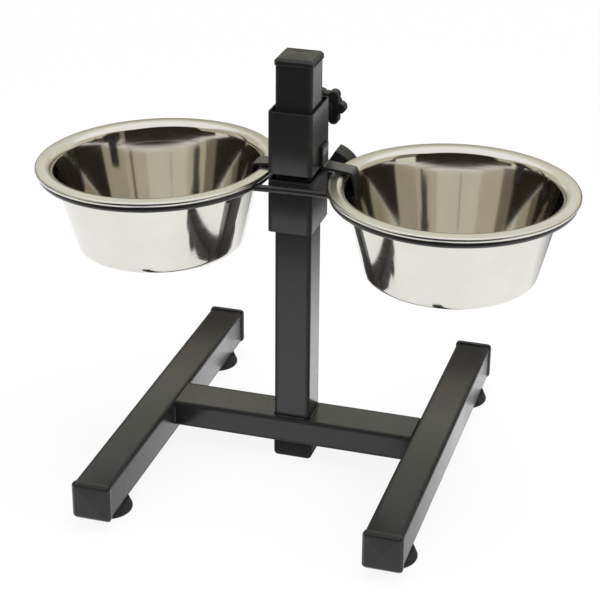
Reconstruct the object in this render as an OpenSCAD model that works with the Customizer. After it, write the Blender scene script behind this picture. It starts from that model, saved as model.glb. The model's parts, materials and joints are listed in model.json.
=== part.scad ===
// Height-adjustable double-bowl dog feeder stand on an H-shaped base.
// X runs along the crossbar, Y from front to back, Z up; the origin is on the floor under the post.

/* [Base] */
// outside size of the square tube of the runners and the post
tube_w = 40; // [34:1:50]
// wall thickness of the base tubes
tube_t = 1.5; // [1:0.1:2.5]
// outside corner radius of the base tubes
tube_r = 3; // [2.5:0.25:4.5]
// length of each runner tube
runner_l = 434; // [340:2:560]
// distance between the centre lines of the runners
runner_pitch = 315; // [240:5:420]
// depth of the crossbar from front to back
bar_d = 50; // [46:1:64]
// height of the crossbar
bar_h = 30; // [22:1:34]
// length of the post above the crossbar
post_l = 409; // [385:1:520]
// leg of the weld beads on the base
weld_w = 2; // [1:0.25:3]

/* [Feet] */
// height of the rubber feet under the runners
foot_h = 13; // [11:0.5:20]
// largest diameter of a foot
foot_d = 52; // [40:0.5:60]
// diameter of a foot where it meets the tube
foot_top_d = 44; // [30:0.5:50]
// rounding of the lower edge of a foot
foot_edge_r = 2.5; // [1:0.25:4]
// distance from the end of a runner to the centre of its foot
foot_inset = 40; // [30:1:80]
// width of the block under the post
block_w = 44; // [36:1:60]
// depth of the block under the post
block_d = 36; // [28:1:48]
// rounding of the block's upright and lower edges
block_r = 5; // [2:0.5:8]

/* [Foot screws] */
// shank diameter of the foot screws
screw_d = 4; // [3:0.5:5]
// head diameter of the foot screws
screw_head_d = 8; // [7:0.25:9.5]
// head height of the foot screws
screw_head_h = 2.6; // [2:0.1:3.5]
// length of the shank that stands into the tube
screw_grip = 8; // [4:0.5:12]
// outside diameter of the washers
washer_d = 10; // [9.5:0.25:11]
// thickness of the washers
washer_t = 1; // [0.6:0.1:1.5]
// rubber left between the washer and the tube
foot_web = 7; // [5:0.5:8]

/* [End caps] */
// overhang of a cap's flange over the tube
cap_lip = 1.5; // [0.5:0.1:1.7]
// thickness of a cap's flange
cap_t = 7.25; // [4:0.25:9]
// rise of a cap's pyramid
cap_rise = 2.5; // [1:0.25:5]
// width of the bevel round a cap's flange
cap_edge = 2.5; // [1:0.25:4]
// depth of a cap's plug in the tube
plug_l = 17; // [12:1:25]
// wall thickness of a cap's plug
plug_t = 2; // [1.5:0.1:3]
// height of a plug's ribs over its wall
rib_h = 1; // [0.5:0.1:1.5]
// thickness of a plug's ribs
rib_t = 1.6; // [1:0.1:2]

/* [Sleeves] */
// wall thickness of the sleeves
sleeve_t = 2; // [1.5:0.1:3]
// outside corner radius of the sleeves
sleeve_r = 4; // [3.5:0.25:5]
// length of the lower sleeve
carrier_l = 59; // [50:1:80]
// height of the lower sleeve above the base
carrier_lift = 229; // [170:1:235]
// open space between the lower and the upper sleeve
sleeve_gap = 7; // [4:0.5:12]
// length of the upper sleeve
lock_l = 68; // [55:1:72]
// thickness of a guide beside the post
guide_side = 1.7; // [1.2:0.1:3]
// thickness of a guide in front of and behind the post
guide_front = 10.7; // [8:0.1:13]
// depth of a guide under the sleeve's ends
guide_recess = 6; // [3:0.5:8]

/* [Hoops] */
// rod diameter of the hoops
rod_d = 8; // [6:0.25:9]
// rod diameter of the hoops' straight arms
arm_d = 7.5; // [5:0.25:9]
// distance from the lower sleeve's top edge to the hoops' centre line
arm_drop = 7; // [5:0.5:12]
// distance of a hoop's centre line inside the bead of the rim
hoop_inset = 3.9; // [2:0.1:5]
// fall of the left hoop away from the sleeve, in degrees
left_fall = 2; // [0:0.25:4]
// fall of the right hoop away from the sleeve, in degrees
right_fall = 0; // [0:0.25:4]
// length of the weld beads under the arms
arm_weld_l = 34; // [20:1:40]
// radius of the weld beads under the arms
arm_weld_r = 3; // [2:0.25:4]

/* [Bowls] */
// height of a bowl
bowl_h = 99; // [80:1:115]
// radius of the flat bottom
bowl_flat_r = 83; // [60:1:95]
// outside radius of the bottom corner
bowl_corner_r = 10; // [5:0.5:16]
// slope of the wall over the horizontal, in degrees
wall_a = 76.5; // [65:0.1:82]
// inside radius of the bend from the wall to the rim
lip_r = 3; // [2:0.25:5]
// slope of the rim down to its edge, in degrees
rim_a = 2; // [0:0.5:12]
// width of the rim
rim_w = 12.5; // [10:0.1:18]
// radius of the rolled edge of the rim
bead_r = 2.8; // [2:0.1:3.5]
// thickness of the sheet
steel_t = 0.8; // [0.5:0.05:1.2]
// space between the left rim and the side of the sleeves
left_gap = 3.6; // [2:0.1:14]
// space between the right rim and the side of the sleeves
right_gap = 11.6; // [2:0.1:14]

/* [Clips] */
// width of the clips' strap
clip_w = 22; // [14:1:30]
// thickness of the clips' strap
clip_t = 3; // [2:0.25:4]
// distance of the clips behind the post's centre line
clip_y = 10; // [0:1:14]
// inside radius of the clips' bends
clip_r = 2; // [1:0.25:3]
// slope of the clips' outward leg, in degrees
clip_a = 6; // [2:0.5:8]
// length of the clips' leg on the sleeve above its lower edge
clip_up = 23; // [15:1:40]
// length of the clips' leg inside the bowl
clip_down = 27; // [15:1:40]
// space between a clip and the wall inside the bowl
clip_space = 3; // [1.5:0.25:6]

/* [Clamp screws] */
// distance of the clamp screws beside the post's centre line
clamp_x = 11; // [6:0.5:12]
// diameter of the studs
stud_d = 8; // [7:0.5:9]
// diameter of the studs' tips in the pads
tip_d = 5; // [4:0.5:6]
// diameter of the pressure pads
pad_d = 9; // [8:0.5:10]
// length of the pressure pads
pad_l = 6; // [5:0.5:8]
// width of the weld nuts across flats
nut_w = 13; // [12:0.5:14]
// height of the weld nuts
nut_h = 7; // [5:0.5:9]
// depth of a stud in its knob
stud_grip = 10; // [7:0.5:12]
// height of the wing knob's axis above the lower sleeve's lower edge
wing_up = 26; // [22:0.5:32]
// distance from the weld nut to the wing knob
wing_reach = 20; // [16:0.5:32]
// radius of the wing knob
wing_r = 39; // [30:0.5:42]
// thickness of the wing knob
wing_h = 24; // [16:0.5:30]
// hub radius of the wing knob
wing_hub_r = 12; // [8:0.5:14]
// width of a wing at its tip
wing_tip_w = 32; // [22:0.5:36]
// width of a wing at the hub
wing_root_w = 17; // [12:0.5:20]
// turn of the wings over the horizontal, in degrees
wing_a = 48; // [0:1:90]
// height of the star knob's axis above the upper sleeve's lower edge
star_up = 43; // [40:0.5:54]
// distance from the weld nut to the star knob
star_reach = 20; // [15:0.5:30]
// thickness of the star knob
star_h = 12; // [8:0.5:16]
// radius of the star knob's body
star_core_r = 16.5; // [14:0.5:19]
// distance of the star knob's lobes from its axis
star_lobe_x = 15; // [13:0.5:17]
// radius of the star knob's lobes
star_lobe_r = 6; // [5:0.25:7.5]
// radius of the star knob's collar
star_hub_r = 8; // [6:0.5:10]
// length of the star knob's collar
star_hub_h = 6; // [4:0.5:10]

/* [Fits] */
// clearance of the guides on the post
slide_gap = 0.3; // [0.2:0.05:0.5]
// clearance of the plugs' ribs in the tubes
plug_gap = 0.05; // [0:0.01:0.1]
// clearance of the studs in the nuts and pads
thread_gap = 0.06; // [0.02:0.01:0.1]
// clearance of holes round screws and studs
hole_gap = 0.2; // [0.1:0.05:0.4]
// clearance of the pads in the guides and at the studs' shoulders
pad_gap = 0.4; // [0.3:0.05:0.6]
// clearance of the pads at the post
press_gap = 0.1; // [0.05:0.05:0.3]
// clearance of the bowls on the hoops
seat_gap = 0.3; // [0.2:0.05:0.5]
// clearance of the clips over the rims
clip_gap = 0.55; // [0.3:0.05:1]

/* [Hidden] */
$fn = 96;

// levels of the base
base_top = foot_h + tube_w;
bar_z = base_top - bar_h;
post_top = base_top + post_l;
runner_x = runner_pitch / 2;
bar_end = runner_x - tube_w / 2;
foot_y = runner_l / 2 - foot_inset;

// sleeves and guides
bore_w = tube_w + 2 * slide_gap;
bore_r = tube_r + slide_gap;
sleeve_in_w = bore_w + 2 * guide_side;
sleeve_in_d = bore_w + 2 * guide_front;
sleeve_w = sleeve_in_w + 2 * sleeve_t;
sleeve_d = sleeve_in_d + 2 * sleeve_t;
carrier_z = base_top + carrier_lift;
carrier_top = carrier_z + carrier_l;
lock_z = carrier_top + sleeve_gap;

// profile of a bowl: the outside line from the bottom's edge to the bead
corner_x = bowl_flat_r + bowl_corner_r * sin(wall_a);
corner_z = bowl_corner_r * (1 - cos(wall_a));
wall_l = (bowl_h - lip_r - steel_t + lip_r * cos(wall_a) - corner_z) / sin(wall_a);
lip_x = corner_x + wall_l * cos(wall_a) + lip_r * sin(wall_a);
lip_z = corner_z + wall_l * sin(wall_a) - lip_r * cos(wall_a);
bead_x = lip_x + rim_w * cos(rim_a) + (lip_r + steel_t - bead_r) * sin(rim_a);
bead_z = lip_z - rim_w * sin(rim_a) + (lip_r + steel_t - bead_r) * cos(rim_a);
rim_r = bead_x + bead_r;

// hoops and bowls in place
left_x = sleeve_w / 2 + left_gap + rim_r;
right_x = sleeve_w / 2 + right_gap + rim_r;
hoop_r = bead_x - hoop_inset;
hoop_z = carrier_top - arm_drop;
seat_reach = rod_d / 2 + bead_r + seat_gap;
bead_up = sqrt(seat_reach * seat_reach - hoop_inset * hoop_inset);
seat_z = bead_up - bead_z;
arm_up = bead_up - bead_r - seat_gap - arm_d / 2;
arm_y = sleeve_d / 2 + arm_d / 2;
clip_top = lock_z + clip_up;

// clamp screws
post_back = tube_w / 2;
pad_y = post_back + press_gap;
stud_y = pad_y + pad_l + pad_gap;
nut_y = sleeve_d / 2;
wing_z = carrier_z + wing_up;
wing_y = nut_y + nut_h + wing_reach;
star_z = lock_z + star_up;
star_y = nut_y + nut_h + star_reach;
tip_l = pad_l - tip_d / 2 + pad_gap;

// a rectangle with round corners
module rounded(w, d, r) {
    square([w - 2 * r, d], center = true);
    square([w, d - 2 * r], center = true);
    for (x = [-1, 1], y = [-1, 1])
        translate([x * (w / 2 - r), y * (d / 2 - r)])
            circle(r);
}

// a straight tube along Z
module tube(w, d, r, t, l) {
    linear_extrude(l)
        difference() {
            rounded(w, d, r);
            rounded(w - 2 * t, d - 2 * t, r - t);
        }
}

// a quarter disc that fills a corner
module bead_section(r) {
    intersection() {
        circle(r);
        square(r);
    }
}

// a round bar along Y
module bar_y(r, l) {
    rotate([-90, 0, 0])
        cylinder(r = r, h = l);
}

module runner(side) {
    color([0.06, 0.06, 0.065])
        difference() {
            translate([side * runner_x, -runner_l / 2, foot_h + tube_w / 2])
                rotate([-90, 0, 0])
                    tube(tube_w, tube_w, tube_r, tube_t, runner_l);
            for (y = [-foot_y, foot_y])
                translate([side * runner_x, y, foot_h - tube_t])
                    cylinder(r = screw_d / 2 + hole_gap, h = 3 * tube_t);
        }
}

module left_runner() {
    runner(-1);
}

module right_runner() {
    runner(1);
}

module crossbar() {
    color([0.06, 0.06, 0.065])
        difference() {
            translate([-bar_end, 0, base_top - bar_h / 2])
                rotate([0, 90, 0])
                    tube(bar_h, bar_d, tube_r, tube_t, 2 * bar_end);
            translate([0, 0, bar_z - tube_t])
                cylinder(r = screw_d / 2 + hole_gap, h = 3 * tube_t);
        }
}

module post() {
    color([0.06, 0.06, 0.065])
        translate([0, 0, base_top])
            tube(tube_w, tube_w, tube_r, tube_t, post_l);
}

module base_welds() {
    color([0.09, 0.09, 0.095]) {
        for (x = [-1, 1], y = [-1, 1])
            translate([x * bar_end, y * bar_d / 2, bar_z + tube_r])
                mirror([x > 0 ? 1 : 0, 0, 0])
                    mirror([0, y > 0 ? 0 : 1, 0])
                        linear_extrude(bar_h - 2 * tube_r)
                            bead_section(weld_w);
        for (a = [0:90:270])
            rotate(a)
                translate([tube_w / 2, tube_w / 2 - tube_r, base_top])
                    rotate([90, 0, 0])
                        linear_extrude(tube_w - 2 * tube_r)
                            bead_section(weld_w);
    }
}

// an end cap with its flange on the XY plane, its plug below and its pyramid above
module end_cap() {
    cap_w = tube_w + 2 * cap_lip;
    plug_w = tube_w - 2 * tube_t - 2 * plug_gap;
    core_w = plug_w - 2 * rib_h;
    plug_r = tube_r - tube_t;
    // the space over a plane that rises from the side of the flange, from a level and at an angle
    module above(z, slope) {
        translate([cap_w / 2, 0, z])
            rotate([0, slope, 0])
                translate([-cap_w, -cap_w, 0])
                    cube([2 * cap_w, 2 * cap_w, cap_w]);
    }
    color([0.03, 0.03, 0.032])
        difference() {
            union() {
                linear_extrude(cap_t + cap_rise)
                    rounded(cap_w, cap_w, tube_r + cap_lip);
                translate([0, 0, -plug_l])
                    linear_extrude(plug_l)
                        rounded(core_w, core_w, plug_r);
                for (i = [1:3])
                    translate([0, 0, -i * plug_l / 4])
                        linear_extrude(rib_t)
                            rounded(plug_w, plug_w, plug_r);
            }
            translate([0, 0, -2 * plug_l])
                linear_extrude(2 * plug_l)
                    rounded(core_w - 2 * plug_t, core_w - 2 * plug_t, plug_r);
            for (a = [0:90:270])
                rotate(a) {
                    above(cap_t, atan2(2 * cap_rise, cap_w));
                    above(cap_t - cap_edge, 45);
                }
        }
}

module runner_cap(side, end) {
    translate([side * runner_x, end * runner_l / 2, foot_h + tube_w / 2])
        rotate([-90 * end, 0, 0])
            end_cap();
}

module left_front_cap() {
    runner_cap(-1, -1);
}

module left_rear_cap() {
    runner_cap(-1, 1);
}

module right_front_cap() {
    runner_cap(1, -1);
}

module right_rear_cap() {
    runner_cap(1, 1);
}

module post_cap() {
    translate([0, 0, post_top])
        end_cap();
}

// a rubber foot that flares to its round lower edge, with a well for the screw
module runner_foot(side, end) {
    top_r = foot_top_d / 2;
    low_r = foot_d / 2 - foot_edge_r;
    lean = atan2(foot_d / 2 - top_r, foot_h);
    color([0.025, 0.025, 0.025])
        translate([side * runner_x, end * foot_y, 0])
            rotate_extrude()
                difference() {
                    union() {
                        polygon([[0, 0], [low_r, 0],
                                 [low_r + foot_edge_r * cos(lean), foot_edge_r + foot_edge_r * sin(lean)],
                                 [top_r, foot_h], [0, foot_h]]);
                        translate([low_r, foot_edge_r])
                            circle(foot_edge_r);
                    }
                    square([screw_d / 2 + hole_gap, foot_h]);
                    square([washer_d / 2 + hole_gap, foot_h - foot_web]);
                }
}

module left_front_foot() {
    runner_foot(-1, -1);
}

module left_rear_foot() {
    runner_foot(-1, 1);
}

module right_front_foot() {
    runner_foot(1, -1);
}

module right_rear_foot() {
    runner_foot(1, 1);
}

// a rubber block under the post, round at its upright and lower edges, with a well for the screw
module centre_foot() {
    // the block seen from one side, with round lower corners, pulled to a length
    module pulled(w, l) {
        rotate([90, 0, 0])
            linear_extrude(l, center = true) {
                translate([-w / 2, block_r])
                    square([w, bar_z - block_r]);
                translate([block_r - w / 2, 0])
                    square([w - 2 * block_r, bar_z]);
                for (x = [-1, 1])
                    translate([x * (w / 2 - block_r), block_r])
                        circle(block_r);
            }
    }
    color([0.025, 0.025, 0.025])
        difference() {
            intersection() {
                linear_extrude(bar_z)
                    rounded(block_w, block_d, block_r);
                pulled(block_w, 2 * block_d);
                rotate([0, 0, 90])
                    pulled(block_d, 2 * block_w);
            }
            cylinder(r = screw_d / 2 + hole_gap, h = bar_z);
            cylinder(r = washer_d / 2 + hole_gap, h = bar_z - foot_web);
        }
}

// places its children at the top face of each foot
module at_feet() {
    for (x = [-1, 1], y = [-1, 1])
        translate([x * runner_x, y * foot_y, foot_h])
            children();
    translate([0, 0, bar_z])
        children();
}

module foot_screws() {
    color([0.62, 0.62, 0.62])
        at_feet() {
            translate([0, 0, -foot_web - washer_t - screw_head_h])
                cylinder(r = screw_head_d / 2, h = screw_head_h);
            translate([0, 0, -foot_web - washer_t - screw_head_h / 2])
                cylinder(r = screw_d / 2, h = foot_web + washer_t + screw_head_h / 2 + screw_grip);
        }
}

module foot_washers() {
    color([0.62, 0.62, 0.62])
        at_feet()
            translate([0, 0, -foot_web - washer_t])
                difference() {
                    cylinder(r = washer_d / 2, h = washer_t);
                    translate([0, 0, -washer_t])
                        cylinder(r = screw_d / 2 + hole_gap, h = 3 * washer_t);
                }
}

// a sleeve from a level upward, with the stud's hole in its rear wall
module sleeve(z, l, stud_z) {
    color([0.06, 0.06, 0.065])
        difference() {
            translate([0, 0, z])
                tube(sleeve_w, sleeve_d, sleeve_r, sleeve_t, l);
            translate([clamp_x, sleeve_in_d / 2 - sleeve_t, stud_z])
                bar_y(stud_d / 2 + hole_gap, 3 * sleeve_t);
        }
}

// the plastic guide between a sleeve and the post, with the pad's hole in its rear
module guide(z, l, stud_z) {
    color([0.04, 0.04, 0.042])
        difference() {
            translate([0, 0, z + guide_recess])
                linear_extrude(l - 2 * guide_recess)
                    difference() {
                        rounded(sleeve_in_w, sleeve_in_d, sleeve_r - sleeve_t);
                        rounded(bore_w, bore_w, bore_r);
                    }
            translate([clamp_x, post_back - guide_front, stud_z])
                bar_y(pad_d / 2 + pad_gap, 3 * guide_front);
        }
}

module carrier_sleeve() {
    sleeve(carrier_z, carrier_l, wing_z);
}

module carrier_guide() {
    guide(carrier_z, carrier_l, wing_z);
}

module lock_sleeve() {
    sleeve(lock_z, lock_l, star_z);
}

module lock_guide() {
    guide(lock_z, lock_l, star_z);
}

// places its children in the plane of a hoop, with the middle of the sleeve as the origin
module in_hoop(side, fall) {
    translate([0, 0, hoop_z])
        mirror([side < 0 ? 1 : 0, 0, 0])
            rotate([0, fall, 0])
                children();
}

// a hoop with the two arms that pass under the rim's bead to the middle of the sleeve
module hoop(side, x, fall) {
    arm_start = (arm_d / 2 - arm_up) * tan(fall);
    arm_end = x - sqrt(hoop_r * hoop_r - arm_y * arm_y);
    color([0.05, 0.05, 0.055])
        in_hoop(side, fall) {
            translate([x, 0, 0])
                rotate_extrude()
                    translate([hoop_r, 0])
                        circle(rod_d / 2);
            for (y = [-arm_y, arm_y])
                translate([arm_start, y, arm_up])
                    rotate([0, 90, 0])
                        cylinder(r = arm_d / 2, h = arm_end - arm_start);
        }
}

module left_hoop() {
    hoop(-1, left_x, left_fall);
}

module right_hoop() {
    hoop(1, right_x, right_fall);
}

// the beads under one hoop's arms, in the corner between the arm and the sleeve
module arm_welds(side, fall) {
    start = (arm_d / 2 - arm_up + arm_weld_r) * tan(fall);
    in_hoop(side, fall)
        for (y = [0, 1])
            translate([0, 0, arm_up])
                mirror([0, y, 0])
                    difference() {
                        translate([start, sleeve_d / 2, -arm_d / 2])
                            rotate([0, 90, 0])
                                cylinder(r = arm_weld_r, h = arm_weld_l / 2 - start);
                        translate([-arm_weld_l, sleeve_d / 2 - arm_weld_l, -arm_weld_l])
                            cube([2 * arm_weld_l, arm_weld_l, 2 * arm_weld_l]);
                        translate([-arm_weld_l, sleeve_d / 2 - arm_weld_l, 0])
                            cube([2 * arm_weld_l, 2 * arm_weld_l, arm_weld_l]);
                        translate([-arm_weld_l, arm_y, 0])
                            rotate([0, 90, 0])
                                cylinder(r = arm_d / 2, h = 2 * arm_weld_l);
                    }
}

module hoop_welds() {
    color([0.11, 0.11, 0.115]) {
        arm_welds(-1, left_fall);
        arm_welds(1, right_fall);
    }
}

// a hexagon nut on a sleeve's rear wall
module weld_nut(z) {
    color([0.06, 0.06, 0.065])
        translate([clamp_x, nut_y, z])
            difference() {
                rotate([-90, 0, 0])
                    cylinder(r = nut_w / 2 / cos(30), h = nut_h, $fn = 6);
                translate([0, -nut_h, 0])
                    bar_y(stud_d / 2 + thread_gap, 3 * nut_h);
            }
}

module carrier_nut() {
    weld_nut(wing_z);
}

module lock_nut() {
    weld_nut(star_z);
}

// a strap of the lock: down the sleeve, out over the rim, down inside the bowl
module clip(side, x, fall) {
    // the middle of the bend at the lip of the bowl
    lip_u = x - lip_x;
    lip_v = seat_z + lip_z;
    top_x = lip_u * cos(fall) + lip_v * sin(fall);
    top_z = hoop_z - lip_u * sin(fall) + lip_v * cos(fall);
    // the middle of the upper bend, with the outward leg clear of the lip
    face_x = sleeve_w / 2;
    c1_x = face_x + clip_t + clip_r;
    over_lip = lip_r + steel_t + clip_gap + clip_t + clip_r;
    c1_z = top_z + (over_lip - (c1_x - top_x) * sin(clip_a)) / cos(clip_a);
    // the middle of the lower bend, with the inner leg beside the wall of the bowl
    wall_f = wall_a + fall;
    k_x = c1_x - (2 * clip_r + clip_t) * sin(clip_a);
    k_z = c1_z - (2 * clip_r + clip_t) * cos(clip_a);
    beside_wall = lip_r + steel_t + clip_space - clip_r;
    leg = (beside_wall - (k_x - top_x) * sin(wall_f) - (k_z - top_z) * cos(wall_f)) / sin(wall_f - clip_a);
    c2_x = k_x + leg * cos(clip_a);
    c2_z = k_z - leg * sin(clip_a);
    far = 2 * clip_down;
    // the space on the bowl's side of the strap, moved in from its sleeve side by a distance
    module fill(d) {
        low_r = clip_r + clip_t - d;
        end_x = c2_x + (clip_r + d) * sin(wall_f) + (clip_down + d) * cos(wall_f);
        end_z = c2_z + (clip_r + d) * cos(wall_f) - (clip_down + d) * sin(wall_f);
        difference() {
            union() {
                polygon([[face_x + d, clip_top + d], [face_x + d, c1_z],
                         [c1_x - low_r * sin(clip_a), c1_z - low_r * cos(clip_a)],
                         [c2_x + (clip_r + d) * sin(clip_a), c2_z + (clip_r + d) * cos(clip_a)],
                         [c2_x, c2_z],
                         [c2_x + (clip_r + d) * sin(wall_f), c2_z + (clip_r + d) * cos(wall_f)],
                         [end_x, end_z], [end_x + far * sin(wall_f), end_z + far * cos(wall_f)],
                         [end_x + far * sin(wall_f), clip_top + d]]);
                translate([c1_x, c1_z])
                    circle(low_r);
            }
            translate([c2_x, c2_z])
                circle(clip_r + d);
        }
    }
    color([0.06, 0.06, 0.065])
        mirror([side < 0 ? 1 : 0, 0, 0])
            translate([0, clip_y + clip_w / 2, 0])
                rotate([90, 0, 0])
                    linear_extrude(clip_w)
                        difference() {
                            fill(0);
                            fill(clip_t);
                        }
}

module left_clip() {
    clip(-1, left_x, left_fall);
}

module right_clip() {
    clip(1, right_x, right_fall);
}

// a clamp screw from its pad to its knob
module stud(z, y) {
    color([0.55, 0.55, 0.56])
        translate([clamp_x, 0, z]) {
            translate([0, stud_y, 0])
                bar_y(stud_d / 2, y + stud_grip - stud_y);
            translate([0, stud_y - tip_l, 0])
                bar_y(tip_d / 2, tip_l + stud_grip);
        }
}

// the cup that a clamp screw presses on the post
module pad(z) {
    color([0.5, 0.42, 0.2])
        translate([clamp_x, pad_y, z])
            difference() {
                bar_y(pad_d / 2, pad_l);
                translate([0, pad_l - tip_l, 0])
                    bar_y(tip_d / 2 + thread_gap, tip_l + pad_l);
            }
}

module wing_stud() {
    stud(wing_z, wing_y);
}

module wing_pad() {
    pad(wing_z);
}

module star_stud() {
    stud(star_z, star_y);
}

module star_pad() {
    pad(star_z);
}

module wing_knob() {
    color([0.035, 0.035, 0.037])
        translate([clamp_x, 0, wing_z])
            difference() {
                translate([0, wing_y + wing_h, 0])
                    rotate([90, 0, 0])
                        linear_extrude(wing_h) {
                            circle(wing_hub_r);
                            for (a = [0, 180])
                                rotate(wing_a + a)
                                    intersection() {
                                        circle(wing_r);
                                        polygon([[0, -wing_root_w / 2], [wing_r, -wing_tip_w / 2],
                                                 [wing_r, wing_tip_w / 2], [0, wing_root_w / 2]]);
                                    }
                        }
                translate([0, wing_y - stud_grip, 0])
                    bar_y(stud_d / 2, 2 * stud_grip);
            }
}

module star_knob() {
    color([0.035, 0.035, 0.037])
        translate([clamp_x, 0, star_z])
            difference() {
                union() {
                    translate([0, star_y, 0])
                        bar_y(star_hub_r, star_hub_h + star_h / 2);
                    translate([0, star_y + star_hub_h + star_h, 0])
                        rotate([90, 0, 0])
                            linear_extrude(star_h) {
                                circle(star_core_r);
                                for (a = [0:60:300])
                                    rotate(a)
                                        translate([star_lobe_x, 0])
                                            circle(star_lobe_r);
                            }
                }
                translate([0, star_y - stud_grip, 0])
                    bar_y(stud_d / 2, 2 * stud_grip);
            }
}

// the space on the inner side of a bowl's sheet, moved in from its outside by a distance
module bowl_fill(d) {
    wall_x = lip_x - (lip_r + d) * sin(wall_a);
    wall_z = lip_z + (lip_r + d) * cos(wall_a);
    rim_x = lip_x + (lip_r + d) * sin(rim_a);
    rim_z = lip_z + (lip_r + d) * cos(rim_a);
    top = bowl_h + bead_r + d;
    difference() {
        union() {
            polygon([[0, d], [bowl_flat_r, d],
                     [corner_x - d * sin(wall_a), corner_z + d * cos(wall_a)],
                     [wall_x, wall_z], [lip_x, lip_z], [rim_x, rim_z],
                     [rim_x + (rim_w + d) * cos(rim_a), rim_z - (rim_w + d) * sin(rim_a)],
                     [rim_x + (rim_w + d) * cos(rim_a), top], [0, top]]);
            translate([bowl_flat_r, bowl_corner_r])
                circle(bowl_corner_r - d);
        }
        translate([lip_x, lip_z])
            circle(lip_r + d);
    }
}

// a pressed steel bowl: bottom, wall and rim of one sheet, and the rolled edge
module bowl(side, x, fall) {
    color([0.8, 0.8, 0.79])
        in_hoop(side, fall)
            translate([x, 0, seat_z])
                rotate_extrude() {
                    difference() {
                        bowl_fill(0);
                        bowl_fill(steel_t);
                    }
                    translate([bead_x, bead_z])
                        circle(bead_r);
                }
}

module left_bowl() {
    bowl(-1, left_x, left_fall);
}

module right_bowl() {
    bowl(1, right_x, right_fall);
}

left_runner();
right_runner();
crossbar();
post();
base_welds();
left_front_cap();
left_rear_cap();
right_front_cap();
right_rear_cap();
post_cap();
left_front_foot();
left_rear_foot();
right_front_foot();
right_rear_foot();
centre_foot();
foot_screws();
foot_washers();
carrier_sleeve();
carrier_guide();
left_hoop();
right_hoop();
hoop_welds();
carrier_nut();
lock_sleeve();
lock_guide();
left_clip();
right_clip();
lock_nut();
wing_knob();
wing_stud();
wing_pad();
star_knob();
star_stud();
star_pad();
left_bowl();
right_bowl();
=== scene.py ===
# %% [markdown]
# A dog feeder stand: two steel bowls hang in hoops on a square post, over an H-shaped base of black tube.
# The solids come packed from the construction model as a fixed frame. This lesson dresses them: each piece
# that shows gets a surface worked out with numpy in the same place, and a finish made of shader nodes.
# Sizes are written in millimetres, as on a workshop drawing, and turned into metres when a mesh is made.

# %% load the frame
import json
import math

import bmesh
import bpy
import numpy as np
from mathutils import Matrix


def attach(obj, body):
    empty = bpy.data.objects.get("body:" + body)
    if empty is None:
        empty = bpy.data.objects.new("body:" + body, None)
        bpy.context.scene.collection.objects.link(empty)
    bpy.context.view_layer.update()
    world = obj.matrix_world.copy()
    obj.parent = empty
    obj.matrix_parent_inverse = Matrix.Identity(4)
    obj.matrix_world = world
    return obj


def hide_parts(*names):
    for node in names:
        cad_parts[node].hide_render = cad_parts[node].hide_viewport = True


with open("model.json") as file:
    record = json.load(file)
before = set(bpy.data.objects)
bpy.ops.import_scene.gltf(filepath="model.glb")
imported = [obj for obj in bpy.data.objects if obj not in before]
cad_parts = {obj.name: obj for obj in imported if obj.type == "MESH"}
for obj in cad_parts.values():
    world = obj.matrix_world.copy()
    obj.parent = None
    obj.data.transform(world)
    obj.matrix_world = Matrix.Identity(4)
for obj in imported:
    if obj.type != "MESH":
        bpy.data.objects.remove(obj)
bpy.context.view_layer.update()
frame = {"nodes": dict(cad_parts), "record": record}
record = frame["record"]
body_of_node = {n: b for b, nodes in record["behaviour"]["bodies"].items() for n in nodes}

# %% [markdown]
# Every new surface here is a grid of points: rows run along the piece and columns run round it. Such a grid
# could be modelled by hand with loop cuts, but a formula keeps each edge where the drawing has it. One helper
# numbers the quads of a grid, and another joins the grids of one piece, closes seams and poles by merging
# points that coincide, turns all faces outward and lets the piece stand for its solid.

# %% grids and pieces
MM = 0.001


def grid_faces(rows, cols, wrap_rows, wrap_cols):
    """Corner numbers of the quads between neighbouring rows and columns, row by row."""
    i, j = np.meshgrid(np.arange(rows - (not wrap_rows)), np.arange(cols - (not wrap_cols)), indexing="ij")
    i2, j2 = (i + 1) % rows, (j + 1) % cols
    return np.stack([i * cols + j, i * cols + j2, i2 * cols + j2, i2 * cols + j], -1).reshape(-1, 4)


def surface(points, wrap_rows=False, wrap_cols=True, **marks):
    """A grid of points in millimetres, its wraps, and marks: one number for each point, row or column."""
    shape = points.shape[:2]
    return {"points": points, "faces": grid_faces(*shape, wrap_rows, wrap_cols),
            "marks": {k: np.broadcast_to(v, shape).ravel() for k, v in marks.items()}}


def piece(node, finish, surfaces, sharp=38):
    """Joins grids into one closed mesh that rides on the node's body and stands for the node."""
    starts = np.cumsum([0] + [s["points"].shape[0] * s["points"].shape[1] for s in surfaces])
    points = np.concatenate([s["points"].reshape(-1, 3) for s in surfaces]) * MM
    faces = np.concatenate([s["faces"] + k for s, k in zip(surfaces, starts)])
    mesh = bpy.data.meshes.new(node + "_look")
    mesh.from_pydata(points, [], faces.tolist())
    for mark in sorted({m for s in surfaces for m in s["marks"]}):
        values = np.concatenate([s["marks"].get(mark, np.zeros(k2 - k1))
                                 for s, k1, k2 in zip(surfaces, starts, starts[1:])])
        mesh.attributes.new(mark, "FLOAT", "POINT").data.foreach_set("value", values.astype(np.float32))
    work = bmesh.new()
    work.from_mesh(mesh)
    bmesh.ops.remove_doubles(work, verts=work.verts, dist=1e-6)
    bmesh.ops.recalc_face_normals(work, faces=work.faces)
    work.to_mesh(mesh)
    work.free()
    mesh.shade_smooth()
    mesh.set_sharp_from_angle(angle=math.radians(sharp))
    mesh.materials.append(finish)
    made = bpy.data.objects.new(node + "_look", mesh)
    bpy.context.scene.collection.objects.link(made)
    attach(made, body_of_node[node])
    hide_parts(node)
    print(made.name, len(mesh.polygons), "faces")


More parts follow.
